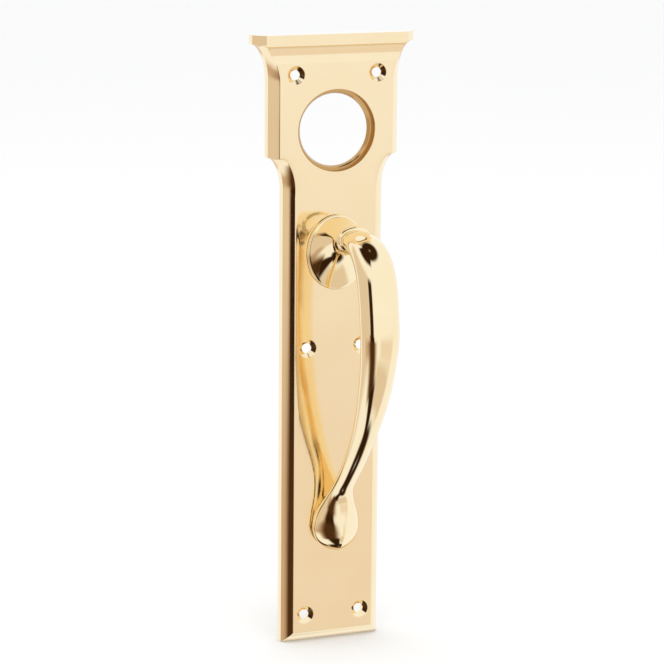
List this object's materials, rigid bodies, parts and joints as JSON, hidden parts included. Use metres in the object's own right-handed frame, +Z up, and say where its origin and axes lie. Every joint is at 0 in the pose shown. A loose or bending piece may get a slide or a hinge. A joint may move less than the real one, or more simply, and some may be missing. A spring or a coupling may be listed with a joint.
{
  "type": "door pull handle on back plate",
  "caption": "Polished brass door pull: a curved grip with a teardrop tail on a tall moulded back plate with a cornice top and a stepped round lock-cylinder hole.",
  "frame": {"origin": "middle of the plate's back, at half its width and half its height, on the bearing pad that lies on the door", "axes": "+Z up along the plate, +Y into the door, the front and the grip face -Y, +X to the right seen from the front"},
  "size_m": [0.0854, 0.0746, 0.31],
  "materials": {
    "plate_brass": "flat front finely brushed up and down and polished over, moulding polished",
    "polished_brass": "mirror polished",
    "fixing_steel": "zinc plated"
  },
  "bodies": {
    "root": {"back_plate": "plate_brass", "handle_boss": "polished_brass", "neck_collar": "polished_brass", "grip": "polished_brass", "top_stud": "fixing_steel", "top_washer": "fixing_steel", "top_nut": "fixing_steel", "boss_locating_pin": "fixing_steel", "tail_washer": "fixing_steel", "tail_screw": "fixing_steel"}
  },
  "joints": []
}
